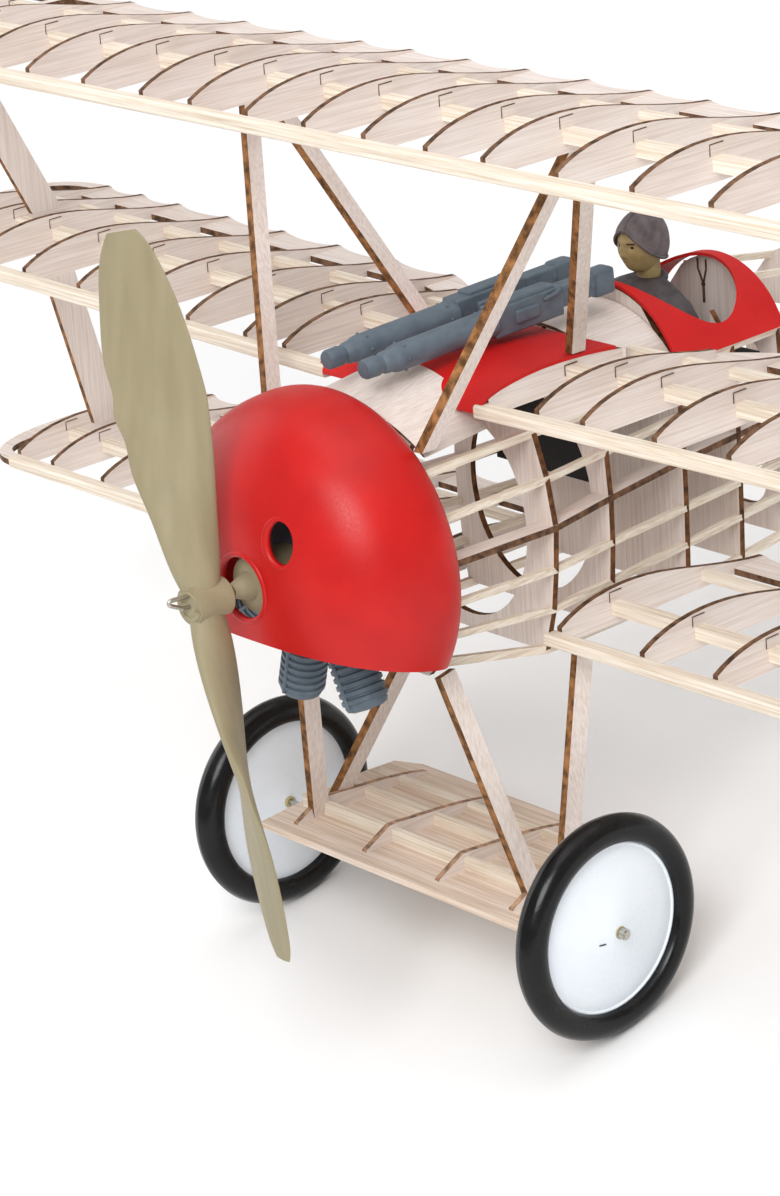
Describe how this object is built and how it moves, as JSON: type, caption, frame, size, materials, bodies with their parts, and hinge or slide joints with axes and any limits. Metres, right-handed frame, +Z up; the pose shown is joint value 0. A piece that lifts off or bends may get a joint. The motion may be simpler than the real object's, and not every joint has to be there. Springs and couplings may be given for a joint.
{
  "type": "triplane scale model",
  "caption": "Uncovered stick-built wooden model of a three-winged scout aeroplane with a moulded cowl, turning propeller, turning wheels and hinged control surfaces.",
  "frame": {"origin": "under the middle of the whole outline, on the surface that the tyres and the tail skid stand on", "axes": "+X towards the nose, +Y to the pilot's left, +Z up; the model stands nose-up on its wheels and skid"},
  "size_m": [0.4194, 0.5084, 0.213],
  "materials": {
    "balsa_sheet": "laser-cut balsa sheet, fine grain, scorched edges",
    "balsa_strip": "sanded balsa strip with straight grain",
    "cowl_red": "moulded plastic painted red, satin",
    "panel_red": "thin sheet painted red, satin",
    "liner_black": "black card",
    "propeller_khaki": "moulded khaki plastic",
    "wire_steel": "music wire",
    "engine_grey": "moulded plastic painted blue-grey",
    "gun_grey": "moulded plastic painted blue-grey",
    "coat_grey": "painted plastic, dark grey",
    "face_tan": "painted plastic, tan",
    "cap_brown": "painted plastic, grey-brown",
    "tyre_black": "moulded black tyre, smooth",
    "disc_white": "formed white plastic",
    "bush_brass": "drawn tube"
  },
  "bodies": {
    "airframe": {"aileron_hinges": "wire_steel", "axle": "wire_steel", "axle_bearers": "balsa_sheet", "axle_collars": "wire_steel", "axle_wing_ribs": "balsa_sheet", "axle_wing_sheet": "balsa_sheet", "axle_wing_spars": "balsa_strip", "bottom_leading_edge": "balsa_strip", "bottom_ribs": "balsa_sheet", "bottom_spars": "balsa_strip", "bottom_tips": "balsa_sheet", "bottom_trailing_edge": "balsa_sheet", "cabane_struts": "balsa_sheet", "centre_panel": "panel_red", "cockpit_coaming": "panel_red", "cockpit_liner": "liner_black", "cowl": "cowl_red", "crankcase": "engine_grey", "cylinders": "engine_grey", "decks": "balsa_sheet", "firewall": "balsa_sheet", "formers": "balsa_sheet", "gear_struts": "balsa_sheet", "interplane_struts": "balsa_sheet", "longerons": "balsa_strip", "machine_gun_port": "gun_grey", "machine_gun_starboard": "gun_grey", "middle_leading_edge": "balsa_strip", "middle_ribs": "balsa_sheet", "middle_spars": "balsa_strip", "middle_tips": "balsa_sheet", "middle_trailing_edge": "balsa_sheet", "nose_button": "propeller_khaki", "pilot_body": "coat_grey", "pilot_cap": "cap_brown", "pilot_head": "face_tan", "side_keels": "balsa_sheet", "sternpost": "balsa_sheet", "stringers": "balsa_strip", "tail_hinges": "wire_steel", "tail_skid": "balsa_sheet", "tailplane": "balsa_sheet", "top_leading_edge": "balsa_strip", "top_ribs": "balsa_sheet", "top_spars": "balsa_strip", "top_tips": "balsa_sheet", "top_trailing_edge": "balsa_sheet"},
    "propeller": {"propeller": "propeller_khaki", "propeller_shaft": "wire_steel", "propeller_spacer": "wire_steel"},
    "wheel_port": {"tyre_port": "tyre_black", "wheel_discs_port": "disc_white", "wheel_bush_port": "bush_brass"},
    "wheel_starboard": {"tyre_starboard": "tyre_black", "wheel_discs_starboard": "disc_white", "wheel_bush_starboard": "bush_brass"},
    "aileron_port": {"aileron_port": "balsa_sheet"},
    "aileron_starboard": {"aileron_starboard": "balsa_sheet"},
    "elevator": {"elevator": "balsa_sheet"},
    "rudder": {"rudder": "balsa_sheet"}
  },
  "joints": [
    {"name": "propeller_spin", "type": "hinge", "parent": "airframe", "child": "propeller", "pos_m": [0.19066, 0, 0.12244], "axis": [0.9756, 0, 0.2195], "continuous": true},
    {"name": "wheel_port_spin", "type": "hinge", "parent": "airframe", "child": "wheel_port", "pos_m": [0.14871, 0.0576, 0.0269], "axis": [0, 1, 0], "continuous": true},
    {"name": "wheel_starboard_spin", "type": "hinge", "parent": "airframe", "child": "wheel_starboard", "pos_m": [0.14871, -0.0576, 0.0269], "axis": [0, 1, 0], "continuous": true},
    {"name": "aileron_port_hinge", "type": "hinge", "parent": "airframe", "child": "aileron_port", "pos_m": [0.08431, 0.2, 0.19834], "axis": [0, 1, 0], "range_deg": [-20, 20]},
    {"name": "aileron_starboard_hinge", "type": "hinge", "parent": "airframe", "child": "aileron_starboard", "pos_m": [0.08431, -0.2, 0.19834], "axis": [0, 1, 0], "range_deg": [-20, 20]},
    {"name": "elevator_hinge", "type": "hinge", "parent": "airframe", "child": "elevator", "pos_m": [-0.16818, 0, 0.05954], "axis": [0, 1, 0], "range_deg": [-22, 22]},
    {"name": "rudder_hinge", "type": "hinge", "parent": "airframe", "child": "rudder", "pos_m": [-0.17256, 0, 0.04072], "axis": [-0.2195, 0, 0.9756], "range_deg": [-24, 24]}
  ],
  "couplings": [
    {"joint": "aileron_starboard_hinge", "follows": "aileron_port_hinge", "ratio": -1}
  ]
}
